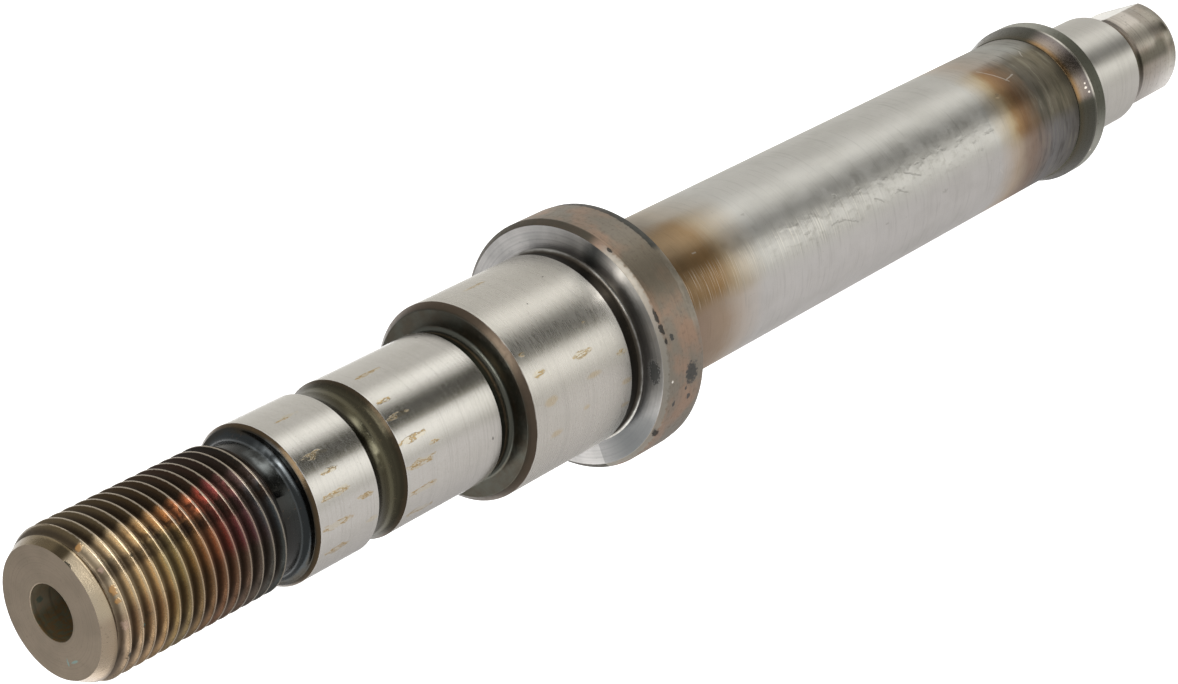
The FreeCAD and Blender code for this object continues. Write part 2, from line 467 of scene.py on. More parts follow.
@dataclass(frozen=True)
class HeatedShank:
    """The long ground shank, with heat tints next to both collars, partly painted light and shade on
    its sides, scratches and small dents.
    """

    name: str
    radius: float = 9.5
    near_mid: Stops = (
        (78.0, 124, 104, 84), (84.0, 139, 119, 93), (88.5, 156, 131, 99), (91.0, 180, 165, 143),
        (97.0, 202, 201, 197))
    near_high: Stops = (
        (78.0, 132, 124, 111), (85.0, 150, 141, 129), (88.5, 184, 175, 162),
        (97.0, 204, 203, 199))
    near_low: Stops = (
        (78.0, 138, 118, 106), (88.0, 166, 147, 128), (92.0, 196, 187, 178),
        (96.0, 204, 202, 200))
    far_mid: Stops = (
        (145.0, 202, 201, 197), (149.2, 182, 165, 136), (150.6, 156, 126, 90),
        (152.4, 138, 108, 80), (156.2, 112, 107, 97), (161.8, 126, 119, 102),
        (164.1, 90, 84, 72))
    far_high: Stops = (
        (145.0, 204, 203, 199), (150.6, 188, 176, 163), (154.5, 182, 176, 168),
        (160.0, 180, 180, 175), (164.1, 152, 149, 142))
    far_low: Stops = (
        (145.0, 202, 200, 198), (149.6, 188, 172, 154), (153.0, 161, 141, 127),
        (158.0, 140, 138, 138), (164.1, 112, 108, 103))
    dents: Spots = (
        (112.3, 85, 0.4, 1.6), (128.5, 91, 0.5, 1.0), (132.5, 120, 0.6, 1.6),
        (140.5, 97, 0.6, 1.0), (144.2, 95, 1.2, 1.3), (141.5, 105, 0.4, 1.2),
        (123.4, 103, 1.0, 1.0), (105.2, 99, 0.8, 1.0), (149.4, 74, 0.5, 1.6),
        (104.1, 90, 0.3, 1.2), (97.6, 67, 0.3, 1.2), (120.0, 121, 0.4, 0.8),
        (126.0, -60, 0.7, 1.6), (101.0, -20, 0.6, 1.4), (138.0, -120, 0.8, 1.4))
    cracks: tuple[Scratch, ...] = (
        (109.6, 102.0, 111.9, 102.6), (111.9, 102.6, 114.4, 108.5),
        (118.6, 99.5, 120.0, 104.5), (123.3, 102.0, 125.0, 107.5),
        (125.6, 93.0, 128.2, 100.0), (112.0, -80.0, 117.0, -86.0))
    light_cracks: tuple[Scratch, ...] = (
        (145.0, 126.5, 145.7, 131.0), (160.2, 53.0, 160.9, 47.0),
        (151.0, 47.0, 153.6, 68.0), (153.2, 66.0, 155.2, 64.0),
        (86.8, 75.2, 87.3, 75.6), (149.0, -30.0, 153.0, -44.0))

    def build(self) -> Material:
        """Build the material.

        Returns:
            The material.
        """
        tree = FinishTree(self.name)
        rings = tree.noise(0.16, 2.6, rough=0.7)
        hairs = tree.noise(0.45, 8.0, detail=2.0, seed=4.0)
        cloud = tree.noise(0.30, 0.16, detail=4.0, seed=7.0)
        grit = tree.noise(4.0, 4.0, detail=2.0, seed=1.0)
        worn = tree.noise(0.5, 0.35, detail=4.0, seed=15.0).rise(0.42, 0.66)
        turned = tree.clock + (cloud - 0.5) * 12.0
        low, high = turned.rise(104.0, 118.0), turned.rise(53.0, 37.0)

        def tinted(middle: Stops, below: Stops, above: Stops,
                   station: Value) -> Value:
            """Blend a heat tint round the shaft, with partly painted light and shade on its sides.

            Args:
                middle, below, above: its tones along the shaft on three sides.
                station: the station that they follow.

            Returns:
                The tint.
            """
            tone = tree.mix(low, tree.along(middle, station), tree.along(below, station))
            return tree.mix(high, tone, tree.along(above, station))

        shifted = tree.station + (cloud - 0.5) * 2.6 + (rings - 0.5) * 2.0
        # heat tints on three sides; the differences between the sides are partly painted light and
        # shade
        near = tinted(self.near_mid, self.near_low, self.near_high, shifted)
        swirl = (tree.noise(0.35, 0.5, detail=4.0, seed=21.0) - 0.5) * 2.6
        far = tinted(self.far_mid, self.far_low, self.far_high, tree.station + swirl)
        scuffed = tree.station.rise(151.0, 156.5)
        smudge = tree.noise(0.24, 1.5, detail=5.0, seed=9.0)
        far = tree.painted(far, (scuffed * smudge.rise(0.50, 0.66) * 0.42, (70, 70, 60)),
                           (scuffed * smudge.rise(0.46, 0.34) * 0.30, (168, 164, 146)))
        browner = tree.clock.band(74.0, 108.0, 6.0) * tree.station.rise(93.0, 89.0)
        # painted shade: a grey darkening of the side past clock readings 74 to 88 at the far end
        painted_shade_side = tree.station.rise(149.0, 152.0) * tree.clock.rise(74.0, 88.0)
        fine = tree.noise(0.10, 4.5, rough=0.75, seed=18.0)
        # grinding rings as light and dark streaks only where the bright band is mirrored, clock
        # readings 86 to 110: painted highlight and painted shade
        painted_ring_streaks = tree.clock.band(86.0, 110.0, 4.0) * tree.station.rise(126.0, 108.0)
        dimples = tree.noise(1.5, 0.9, detail=4.0, seed=31.0)
        strip = (tree.clock + (worn - 0.5) * 6.0).band(90.0, 105.0, 5.0)
        battered = strip * tree.station.band(99.0, 143.0, 6.0)
        dent = tree.spotted(self.dents, (grit - 0.5) * 2.8, 0.5)
        bend = (tree.noise(1.2, 1.2, seed=6.0) - 0.5) * 1.1
        crack = tree.scratched(self.cracks, self.radius, 0.09, bend)
        line = tree.scratched(self.light_cracks, self.radius, 0.08, bend * 0.3)
        tone = tree.painted(
            tree.mix(tree.station.rise(118.0, 119.0), near, far),
            (browner, (233, 223, 207), "MULTIPLY"), (painted_shade_side, (236, 236, 236), "MULTIPLY"),
            (painted_ring_streaks * fine.rise(0.52, 0.70) * 0.5, (244, 240, 228)),
            (painted_ring_streaks * fine.rise(0.48, 0.32) * 0.35, (132, 126, 112)),
            (battered * dimples.rise(0.50, 0.66) * 0.26, (140, 137, 126)),
            (cloud.rise(0.4, 0.7) * 0.12, (168, 166, 156), "MULTIPLY"),
            (rings.rise(0.5, 0.8) * 0.20, (120, 118, 112), "MULTIPLY"),
            (grit.rise(0.66, 0.8) * 0.3, (92, 88, 80)), (dent * 0.24, (104, 102, 94)),
            (crack * 0.30, (104, 102, 94)), (line * 0.4, (214, 210, 202)))
        rough = 0.41 + worn * 0.05 + scuffed * 0.13 + (hairs - 0.5) * 0.24
        bumps = [(rings, 0.0030), (hairs, 0.0010), (worn, 0.008), (dimples * battered, 0.055),
                 (dent, -0.014), (crack, -0.018)]
        return tree.finish(tone, 1.0, rough, bumps, stretched=0.7)


@dataclass(frozen=True)
class HeatedThread:
    """The thread, tinted gold, copper and red by heat, with dirt and painted shade in its roots,
    painted light and shade round it, and small chips.
    """

    name: str
    middle: Stops = (
        (0.0, 206, 190, 164), (5.0, 222, 196, 154), (8.4, 206, 170, 120), (11.0, 196, 140, 89),
        (13.8, 198, 118, 80), (15.3, 166, 82, 66), (17.4, 146, 76, 72), (20.2, 102, 87, 83),
        (23.0, 80, 80, 80))
    low: Stops = (
        (0.0, 184, 166, 144), (8.0, 176, 138, 92), (14.0, 156, 98, 68), (20.0, 100, 82, 72),
        (23.0, 84, 80, 76))
    high: Stops = (
        (0.0, 114, 100, 76), (9.0, 70, 56, 36), (17.0, 56, 41, 33), (23.0, 38, 39, 36))
    rust: Spots = (
        (1.7, 57, 0.26, 2.6), (1.95, 96, 0.2, 4.0), (2.0, 104, 0.2, 2.0), (1.6, -70, 0.3, 4.0))
    pale: Spots = ((2.1, 122, 0.25, 4.0), (1.9, 80, 0.2, 2.4))
    # dark flecks; those at clock readings 76 and 81 are painted shade in the valleys
    specks: Spots = (
        (2.7, 147, 0.35, 4.0), (3.0, 139, 0.25, 2.5), (5.9, 142, 0.4, 1.6), (2.5, 76, 0.35, 2.5),
        (5.5, 81, 0.4, 2.5), (4.1, 128, 0.3, 2.0), (-0.1, 62, 0.35, 5.0), (8.2, -30, 0.5, 3.0))
    verdigris: Spots = ((4.6, 134, 0.25, 1.8),)

    def build(self) -> Material:
        """Build the material.

        Returns:
            The material.
        """
        tree = FinishTree(self.name)
        cloud = tree.noise(0.28, 0.30, detail=4.0, seed=2.0)
        grit = tree.noise(3.2, 3.2, seed=9.0)
        streaks = tree.noise(0.20, 6.0, detail=2.0, seed=4.0)
        shifted = tree.station + (cloud - 0.5) * 3.0
        turned = tree.clock + (cloud - 0.5) * 14.0
        # heat tints on three sides round the thread; the dark upper side is partly painted shade
        tone = tree.mix(turned.rise(54.0, 62.0), tree.along(self.high, shifted),
                        tree.along(self.middle, shifted))
        tone = tree.mix(turned.rise(106.0, 120.0) + turned.rise(-40.0, -70.0), tone,
                        tree.along(self.low, shifted))
        # painted shade: browned darkens past clock readings 70 to 78, and dimmed at 77 to 88 and past
        # 138 to 149
        browned = turned.rise(70.0, 78.0) * shifted.rise(6.0, 10.0)
        dimmed = tree.clock.band(77.0, 88.0, 3.0) + tree.clock.rise(138.0, 149.0)
        threaded = tree.station.rise(0.9, 1.6)
        smear = tree.noise(0.50, 0.75, detail=4.0, seed=17.0).rise(0.46, 0.54)
        smear = smear * tree.clock.band(59.0, 88.0, 7.0) * tree.station.rise(4.5, 9.0)
        # root: dirt and painted shade in the thread's roots
        root = (tree.radius + (grit - 0.5) * 0.25).rise(7.74, 7.25) * threaded
        # crest: worn bare crests with a painted highlight, weaker past clock readings 72 to 84
        crest = (tree.radius + (grit - 0.5) * 0.12).rise(7.79, 7.84) * threaded
        shine = 0.55 - tree.clock.rise(72.0, 84.0) * 0.25
        # painted shade: dark bands on the lead chamfer at clock readings 44 to 56 and 79 to 87
        painted_dark_bands = tree.clock.band(44.0, 56.0, 4.0) * 0.75 + tree.clock.band(79.0, 87.0, 3.0) * 0.2
        rust = tree.spotted(self.rust, (grit - 0.5) * 1.6)
        speck = tree.spotted(self.specks, (grit - 0.5) * 2.6)
        green = tree.spotted(self.verdigris, (grit - 0.5) * 2.0)
        tone = tree.painted(
            tone, (browned, (212, 243, 255), "MULTIPLY"),
            (dimmed * threaded, (184, 182, 180), "MULTIPLY"),
            (smear * 0.78, (56, 42, 33)), (root * 0.72, (46, 36, 27)),
            (crest * shine, (190, 178, 160)), (painted_dark_bands * tree.station.rise(1.5, 0.7), (66, 58, 44)),
            (grit.rise(0.58, 0.76) * 0.35, (66, 52, 38)), (rust * 0.75, (180, 132, 70)),
            (tree.spotted(self.pale, (grit - 0.5) * 1.6) * 0.45, (206, 176, 160)),
            (speck * 0.85, (30, 34, 30)), (green * 0.7, (84, 142, 134)))
        metallic = 1.0 - (rust + green).at_most(1.0) * 0.7 - root * 0.15
        rough = 0.24 + root * 0.16 + grit.rise(0.5, 0.75) * 0.12
        return tree.finish(tone, metallic, rough, [
            (streaks, 0.002), (grit, 0.010), (rust, 0.03), (speck, -0.05)])


@dataclass(frozen=True)
class TurnedFace:
    """A face turned on a lathe: rings round its middle, marks, and painted light and dark wedges of
    reflection.
    """

    name: str
    tone: Tone
    dark: Tone
    rings: float = 5.0
    ring_depth: float = 0.0015
    roughness: float = 0.3
    marks: tuple[FaceMark, ...] = ()
    painted_fans: tuple[PaintedFan, ...] = ()

    def build(self) -> Material:
        """Build the material.

        Returns:
            The material.
        """
        tree = FinishTree(self.name)
        turning = tree.node("ShaderNodeTexNoise", {"noise_dimensions": "1D"}, {
            "W": tree.radius * self.rings, "Scale": 1.0, "Detail": 3.0, "Roughness": 0.6})
        cloud = tree.noise(0.35, 0.35, detail=4.0, seed=3.0)
        grit = tree.noise(4.0, 4.0, detail=2.0, seed=6.0)
        tone = tree.painted(self.tone, (cloud.rise(0.35, 0.7) * 0.3, self.dark),
                            (turning.rise(0.45, 0.75) * 0.25, self.dark),
                            (grit.rise(0.6, 0.8) * 0.3, self.dark))
        # painted reflection: light and dark wedges round the face, by clock reading
        for clock, half_turn, strength in self.painted_fans:
            painted_fan = abs(tree.clock + (cloud - 0.5) * 10.0 - clock).rise(half_turn, 0.0)
            tone = tree.mix(painted_fan * abs(strength), tone,
                            (235, 232, 228) if strength > 0 else self.dark)
        metallic: Number = 1.0
        for *spot, mark_tone in self.marks:
            mark = tree.spotted((spot,), (grit - 0.5) * 1.4, 0.7, 1.15, tree.radius)
            tone = tree.mix(mark * 0.85, tone, mark_tone)
            metallic = metallic - mark * 0.4
        rough = self.roughness + grit.rise(0.5, 0.8) * 0.1
        return tree.finish(tone, metallic, rough, [(turning, self.ring_depth), (grit, 0.004)])


@dataclass(frozen=True)
class DarkGroove:
    """An unground neck or groove: oxide-dark, with fine turning lines and browned lips.

    Between the painted highlight's stations and clock readings a lighter tone is painted as a
    highlight.
    """

    name: str
    tones: Stops
    roughness: float = 0.20
    edge: Tone = (132, 104, 76)
    painted_highlight: tuple[float, float] | None = None
    painted_highlight_clocks: tuple[float, float] = (48.0, 74.0)
    painted_highlight_tone: Tone = (150, 156, 158)

    def build(self) -> Material:
        """Build the material.

        Returns:
            The material.
        """
        tree = FinishTree(self.name)
        turning = tree.noise(0.05, 7.0)
        grit = tree.noise(2.6, 2.6, seed=5.0)
        wave = tree.noise(0.5, 0.5, seed=12.0)
        tone = tree.painted(tree.along(self.tones, tree.station + (wave - 0.5) * 0.25),
                            (turning.rise(0.45, 0.8) * 0.3, (40, 38, 34)),
                            (grit.rise(0.62, 0.8) * 0.2, self.edge))
        if self.painted_highlight:
            # painted highlight: a lighter tone over one band of stations and clock readings
            highlight_mask = tree.station.band(*self.painted_highlight, 0.3) * tree.clock.band(*self.painted_highlight_clocks, 9.0)
            tone = tree.mix(highlight_mask * wave.rise(0.32, 0.6) * 0.7, tone, self.painted_highlight_tone)
        rough = self.roughness + grit.rise(0.45, 0.75) * 0.12
        return tree.finish(tone, 1.0, rough, [(turning, 0.003), (grit, 0.006)])


@dataclass(frozen=True)
class RustyCollar:
    """The big collar's outside: turned, browned by rust, with dark spots and a bare rear band."""

    name: str
    dark_spots: Spots = (
        (76.05, 128.3, 0.95, 5.4), (73.45, 108.5, 0.35, 1.5), (73.4, 139.6, 0.25, 1.4),
        (76.0, 139.7, 0.35, 1.6), (75.2, 134.5, 0.2, 1.0), (74.9, -40, 0.6, 4.0),
        (73.4, -110, 0.5, 3.0))
    chips: Spots = (
        (72.3, 97.5, 0.15, 4.2), (72.4, 103.4, 0.22, 3.0), (72.5, 108.6, 0.18, 1.8),
        (72.25, 155, 0.3, 2.4), (72.3, 62, 0.12, 1.6), (72.4, -60, 0.3, 4.0))
    glints: Spots = ((72.75, 127.8, 0.17, 0.7),)

    def build(self) -> Material:
        """Build the material.

        Returns:
            The material.
        """
        tree = FinishTree(self.name)
        turning = tree.noise(0.05, 5.0)
        cloud = tree.noise(0.22, 0.28, detail=5.0, seed=4.0)
        grit = tree.noise(2.4, 2.4, seed=8.0)
        ragged = (grit - 0.5) * 1.8
        worn = tree.station + (grit - 0.5) * 0.5
        front = worn.rise(72.42, 72.2) * tree.clock.rise(56.0, 64.0)
        shadowed = tree.station.rise(72.7, 72.45) * tree.clock.rise(58.0, 50.0)
        rear = worn.rise(77.1, 77.35)
        bare = rear * (tree.clock.band(73.0, 108.0, 5.0) * cloud.rise(0.34, 0.52))
        chip = tree.spotted(self.chips, ragged, 0.7)
        spot = tree.spotted(self.dark_spots, ragged * 1.2, 0.7, 1.15)
        tone = tree.painted(
            (135, 128, 117), (cloud.rise(0.40, 0.66), (157, 132, 113)),
            (tree.clock.band(64.0, 92.0, 9.0) * 0.55, (118, 108, 90)),
            (turning.rise(0.45, 0.8) * 0.25, (84, 72, 60)),
            (grit.rise(0.52, 0.78) * 0.3, (98, 84, 72)), (front * 0.75, (158, 153, 143)),
            (shadowed * 0.85, (66, 62, 52)), (bare * 0.7, (158, 152, 140)),
            (rear * tree.clock.band(8.0, 71.0, 2.0) * 0.9, (56, 58, 56)),
            (spot * 0.85, (62, 64, 64)), (chip * 0.85, (40, 40, 38)),
            (tree.spotted(self.glints), (255, 250, 240)))
        metallic = 0.86 - cloud.rise(0.4, 0.7) * 0.12
        rough = 0.42 + grit.rise(0.4, 0.75) * 0.12 - bare * 0.12
        return tree.finish(tone, metallic, rough, [
            (turning, 0.003), (grit, 0.012), (spot, -0.02), (chip, -0.10)])


@dataclass(frozen=True)
class SmallCollar:
    """The small collar: a browned cone with a bare edge, an oxide-dark outside, and painted shade,
    light and glints.
    """

    name: str
    tones: Stops = (
        (164.0, 84, 76, 62), (164.35, 150, 120, 84), (165.0, 146, 134, 124),
        (166.2, 128, 120, 118), (166.55, 124, 118, 116), (166.72, 196, 192, 186),
        (166.9, 190, 186, 178), (167.0, 98, 98, 88), (169.1, 96, 97, 87), (169.3, 70, 72, 64))
    glints: Spots = (
        (165.9, 99, 0.25, 1.0), (166.2, 103, 0.2, 0.9), (166.0, 96, 0.15, 0.7),
        (167.3, 150, 0.25, 1.0))

    def build(self) -> Material:
        """Build the material.

        Returns:
            The material.
        """
        tree = FinishTree(self.name)
        turning = tree.noise(0.08, 6.0)
        grit = tree.noise(2.6, 2.6, seed=3.0)
        outside = tree.station.rise(166.85, 167.0)
        shaded = (tree.clock.rise(50.0, 38.0) + tree.clock.rise(103.0, 110.0)).at_most(1.0)
        # ends: painted highlights on the outside towards its sides, below clock readings 28 to 64 and
        # past 112 to 146
        ends = (tree.clock.rise(64.0, 28.0) + tree.clock.rise(112.0, 146.0)) * outside
        tone = tree.painted(
            tree.along(self.tones), (shaded * (1.0 - outside) * 0.88, (66, 68, 59)),
            (ends * 0.9, (184, 184, 176)), (turning.rise(0.45, 0.8) * 0.25, (56, 56, 48)),
            (grit.rise(0.58, 0.78) * 0.4, (70, 56, 44)),
            (tree.spotted(self.glints, (grit - 0.5) * 1.6) * 0.9, (255, 248, 238)))
        rough = 0.24 + grit.rise(0.45, 0.75) * 0.14 + outside * 0.34
        return tree.finish(tone, 1.0, rough, [(turning, 0.002), (grit, 0.006)], stretched=0.4)


@dataclass(frozen=True)
class DriveEnd:
    """The neck and the drive end: browned where round, bright on its milled flats, with painted
    highlight, reflection and shade by clock reading.
    """

    name: str
    tones: Stops = (
        (183.0, 98, 90, 79), (185.2, 120, 112, 101), (185.6, 160, 150, 139),
        (190.0, 170, 163, 154), (192.6, 166, 160, 148), (194.4, 108, 104, 92))

    def build(self) -> Material:
        """Build the material.

        Returns:
            The material.
        """
        tree = FinishTree(self.name)
        station, clock = tree.station, tree.clock
        turning = tree.noise(0.10, 5.0)
        cloud = tree.noise(0.30, 0.30, detail=4.0, seed=2.0)
        grit = tree.noise(2.6, 2.6, seed=7.0)
        # worn is a painted highlight: a lighter tone below clock readings 62 to 76
        worn = station.band(185.3, 189.6, 0.6) * clock.rise(76.0, 62.0)
        lit = clock.band(70.0, 94.0, 6.0) * station.band(185.2, 190.0, 0.8)
        # painted shade: a darker band at clock readings 98 to 113
        slanted = clock + station.rise(188.8, 190.6) * clock.rise(108.0, 96.0) * 6.0
        painted_shade_band = slanted.band(98.0, 113.0, 5.0) * station.rise(193.0, 191.4)
        flat = (abs(tree.across_y) - 5.93).rise(0.0, 0.06) * (tree.radius - 6.0).rise(0.9, 0.88)
        flat = flat * station.rise(185.3, 185.5) * station.rise(194.2, 194.0)
        tone = tree.painted(
            tree.along(self.tones, station + (cloud - 0.5) * 1.6),
            (cloud.rise(0.45, 0.68) * 0.25, (142, 118, 98)),
            # painted reflection: lighter past clock readings 112 to 146; worn adds the painted
            # highlight
            (clock.rise(112.0, 146.0) * 0.8, (206, 202, 198)), (worn * 0.85, (216, 210, 202)),
            (lit * 0.5, (218, 214, 202)), (painted_shade_band * 0.75, (92, 90, 76)),
            (turning.rise(0.45, 0.8) * 0.3, (78, 70, 62)),
            (grit.rise(0.58, 0.78) * 0.35, (84, 72, 60)), (flat * 0.9, (192, 189, 180)))
        rough = 0.50 + grit.rise(0.45, 0.75) * 0.10 - flat * 0.2
        return tree.finish(tone, 1.0, rough, [(turning, 0.003), (grit, 0.008)], stretched=0.4)


@dataclass(frozen=True)
class DrilledBore:
    """The drilled hole: dark, with drill rings, rust and a fleck of verdigris."""

    name: str
    verdigris: Spots = ((1.05, -56, 0.4, 8.0),)

    def build(self) -> Material:
        """Build the material.

        Returns:
            The material.
        """
        tree = FinishTree(self.name)
        drill = tree.noise(0.2, 3.0)
        grit = tree.noise(2.2, 1.6, detail=4.0, seed=6.0)
        bare = tree.clock.band(-75.0, -10.0, 14.0) * tree.station.rise(5.0, 1.5)
        tone = tree.painted(
            (134, 130, 104), (grit.rise(0.4, 0.62), (152, 124, 86)),
            (bare * 0.7, (214, 202, 178)), (drill.rise(0.45, 0.8) * 0.5, (84, 80, 64)),
            (tree.spotted(self.verdigris, (grit - 0.5) * 1.2) * 0.6, (96, 140, 134)))
        return tree.finish(tone, 0.8, 0.42, [(drill, 0.01), (grit, 0.01)])


def finishes() -> list[Material]:
    """Build the material of each zone.

    Returns:
        The materials, in the order of the zones.
    """
    verdigris = (112, 136, 130)
    kinds = {
        Zone.BORE: DrilledBore("drilled_bore"),
        Zone.END_FACE: TurnedFace(
            "turned_end_face", (133, 120, 104), (100, 90, 76), roughness=0.36,
            marks=((4.9, 183.5, 0.12, 7.6, verdigris), (4.85, -163.5, 0.45, 1.4, verdigris))),
        Zone.THREAD: HeatedThread("heated_thread"),
        Zone.RELIEF: DarkGroove("relief_neck", (
            (22.0, 52, 50, 48), (24.4, 58, 60, 60), (25.4, 54, 57, 58), (25.52, 58, 54, 47),
            (25.6, 80, 68, 52), (25.85, 90, 75, 56), (25.95, 170, 164, 156)),
            painted_highlight=(23.4, 25.5)),
        Zone.FRONT_HUB: GroundSteel("ground_front_hub", stains=(
            (28.0, 78, 1.9, 2.4), (28.6, 91.5, 1.3, 1.8), (28.5, 106.5, 1.9, 2.2),
            (32.2, 117.5, 1.0, 2.0), (28.3, 126.5, 2.0, 2.6), (33.0, 137.5, 0.9, 2.0),
            (28.4, 147, 1.7, 2.6), (29.5, 43, 1.6, 1.8), (30.0, -25, 1.8, 2.2),
            (29.0, -80, 1.8, 2.4), (31.0, -130, 1.6, 2.4))),
        Zone.RING_GROOVE: DarkGroove("ring_groove", (
            (33.7, 66, 64, 51), (35.4, 74, 71, 56), (37.3, 74, 70, 56), (37.6, 62, 58, 46),
            (38.0, 78, 66, 51), (38.1, 134, 124, 110)),
            painted_highlight=(35.5, 36.2), painted_highlight_clocks=(66.0, 104.0), painted_highlight_tone=(196, 192, 166)),
        Zone.REAR_HUB: GroundSteel("ground_rear_hub", stains=(
            (39.2, 66.5, 1.1, 1.8), (39.6, 80, 1.5, 2.0), (40.2, 98, 2.0, 2.4),
            (42.6, 106.5, 0.8, 1.8), (40.3, 115.5, 2.1, 2.6), (40.5, 135, 1.9, 2.6),
            (40.5, 155, 2.0, 3.0), (41.0, 40, 1.8, 2.0), (41.5, -30, 2.0, 2.6),
            (40.6, -95, 2.0, 2.6)), nicks=((50.6, 126, 0.10, 1.3), (50.5, 26, 0.12, 1.0))),
        Zone.UNDERCUT: DarkGroove("undercuts", (
            (51.9, 92, 92, 82), (52.5, 72, 76, 68), (52.9, 84, 81, 70), (53.1, 146, 128, 104),
            (53.35, 88, 88, 78), (53.85, 82, 83, 76), (53.95, 72, 65, 55), (54.05, 82, 72, 61),
            (54.55, 92, 80, 68), (54.65, 188, 180, 170), (69.6, 120, 112, 98),
            (69.9, 52, 46, 40), (70.6, 44, 40, 35), (71.4, 60, 55, 48), (71.75, 78, 72, 64),
            (71.85, 176, 174, 168)), roughness=0.30),
        Zone.SEAT: GroundSteel("ground_bearing_seat", (203, 200, 194), roughness=0.29, stains=(
            (59.6, 28, 1.6, 1.3), (55.6, 84, 0.5, 1.3), (65.5, 84, 0.35, 1.0),
            (56.6, 97, 0.9, 1.8), (63.5, 98.5, 1.6, 2.0), (68.8, 108, 0.9, 1.6),
            (60.0, -35, 2.0, 2.0), (64.0, -100, 1.8, 2.0)),
            smears=((57.2, 114, 1.2, 3.0), (64.0, 112, 1.4, 2.0), (69.0, 125, 0.9, 2.0),
                    (57.6, 134, 1.0, 2.4), (69.0, 140, 1.0, 2.0), (62.5, 128, 0.7, 1.6)),
            nicks=((66.0, 48, 0.12, 0.5), (61.0, 60, 0.1, 0.5))),
        Zone.COLLAR_FACE: TurnedFace(
            "turned_collar_face", (186, 183, 180), (94, 96, 96), rings=3.0, ring_depth=0.0008,
            marks=((12.5, 123.6, 0.75, 6.8, (46, 48, 46)),),
            painted_fans=((56.0, 10.0, -0.95), (73.0, 8.0, 0.9), (90.0, 12.0, -0.5),
                  (150.0, 30.0, -0.45), (170.0, 44.0, -0.9))),
        Zone.COLLAR: RustyCollar("rusty_collar"),
        Zone.SHANK: HeatedShank("heated_shank"),
        Zone.SMALL_COLLAR: SmallCollar("small_collar_oxide"),
        Zone.JOURNAL: GroundSteel("ground_journal", (206, 204, 199), roughness=0.42),
        Zone.DRIVE: DriveEnd("drive_end_brown"),
    }
    return [kinds[zone].build() for zone in Zone]


# The shaft's form.

Ring = tuple[float, float, Zone]  # a station, a radius and the zone that leads up to it


@dataclass
class Outline:
    """A turned outline as a list of rings."""

    edge: float = 0.05
    edge_share: float = 0.3
    blunt_bend: float = 24.0
    rings: list[Ring] = field(default_factory=list)

    def line(self, zone: Zone, *corners: tuple[float, float]) -> "Outline":
        """Go on along straight sides of a zone to corners, each a station and a radius."""
        self.rings += [(station, radius, zone) for station, radius in corners]
        return self

    def arc(self, zone: Zone, end: tuple[float, float], middle: tuple[float, float],
            parts: int) -> "Outline":
        """Go on along an arc round a middle, from the last corner to a new one.

        Args:
            zone: the zone of the arc.
            end: where it ends, as a station and a radius.
            middle: the middle of its circle, as a station and a radius.
            parts: how many straight parts it has.

        Returns:
            The outline itself.
        """
        from_station, from_radius, _ = self.rings[-1]
        first = math.atan2(from_radius - middle[1], from_station - middle[0])
        last = math.atan2(end[1] - middle[1], end[0] - middle[0])
        turn = (last - first + math.pi) % (2 * math.pi) - math.pi
        bend = math.dist(end, middle)
        for part in range(1, parts + 1):
            angle = first + turn * part / parts
            self.rings.append((middle[0] + bend * math.cos(angle),
                               middle[1] + bend * math.sin(angle), zone))
        return self

    def eased(self) -> list[Ring]:
        """Break each sharp corner by a small round.

        Returns:
            The new rings.
        """
        ends = self.rings
        made = [ends[0]]
        for before, (station, radius, zone), after in zip(ends, ends[1:], ends[2:]):
            here = Vector((station, radius))
            back, ahead = Vector(before[:2]) - here, Vector(after[:2]) - here
            if min(back.length, ahead.length) < TINY:
                continue
            bend = math.pi - back.angle(ahead)
            if bend < math.radians(self.blunt_bend) or radius < self.edge:
                made.append((station, radius, zone))
                continue
            cut = min(self.edge, back.length * self.edge_share, ahead.length * self.edge_share)
            first, last = here + back.normalized() * cut, here + ahead.normalized() * cut
            for share, side in ((0.0, zone), (0.5, zone), (1.0, after[2])):
                spot = first.lerp(here, share).lerp(here.lerp(last, share), share)
                made.append((spot.x, spot.y, side))
        made.append(ends[-1])
        return made


@dataclass
class Thread:
    """The fine right-hand thread, with its lead chamfer and its run-out."""

    pitch: float = 1.5
    crest_radius: float = 7.865
    face_radius: float = 6.65
    lead_angle: float = 30.0
    run_out: float = 1.2
    first_crest: float = 0.75
    first_clock: float = 93.0
    end: float = 22.9
    end_radius: float = 7.0
    # half of one thread's section: distance from the crest's middle, and depth below the crest
    section: tuple[tuple[float, float], ...] = (
        (0.05, 0.0), (0.10, 0.03), (0.14, 0.09), (0.32, 0.40), (0.49, 0.69),
        (0.55, 0.78), (0.63, 0.865), (0.75, 0.905))

    def samples(self) -> list[tuple[float, float]]:
        """Distance from the crest and radius of each ring in one pitch, in order."""
        right = [(away, self.crest_radius - depth) for away, depth in self.section]
        return [(-away, radius) for away, radius in reversed(right[:-1])] + right

    def radius(self, station: float, cut: float) -> float:
        """The radius at a station, where the thread alone would have the radius cut."""
        lead = self.face_radius + station * math.tan(math.radians(self.lead_angle))
        return min(cut, lead, self.end_radius + (self.end - station) * self.run_out)

    def column(self, clock: float) -> list[tuple[float, float]]:
        """One column of the helical grid, as stations and radii down the shaft.

        Args:
            clock: the column's clock reading.

        Returns:
            Its points, held between the end face and the thread's end.
        """
        start = self.first_crest + self.pitch * (clock - self.first_clock) / 360
        points = []
        for turn in range(-2, int(self.end / self.pitch) + 4):
            for away, cut in self.samples():
                station = min(max(start + turn * self.pitch + away, 0.0), self.end)
                points.append((station, self.radius(station, cut)))
        return points


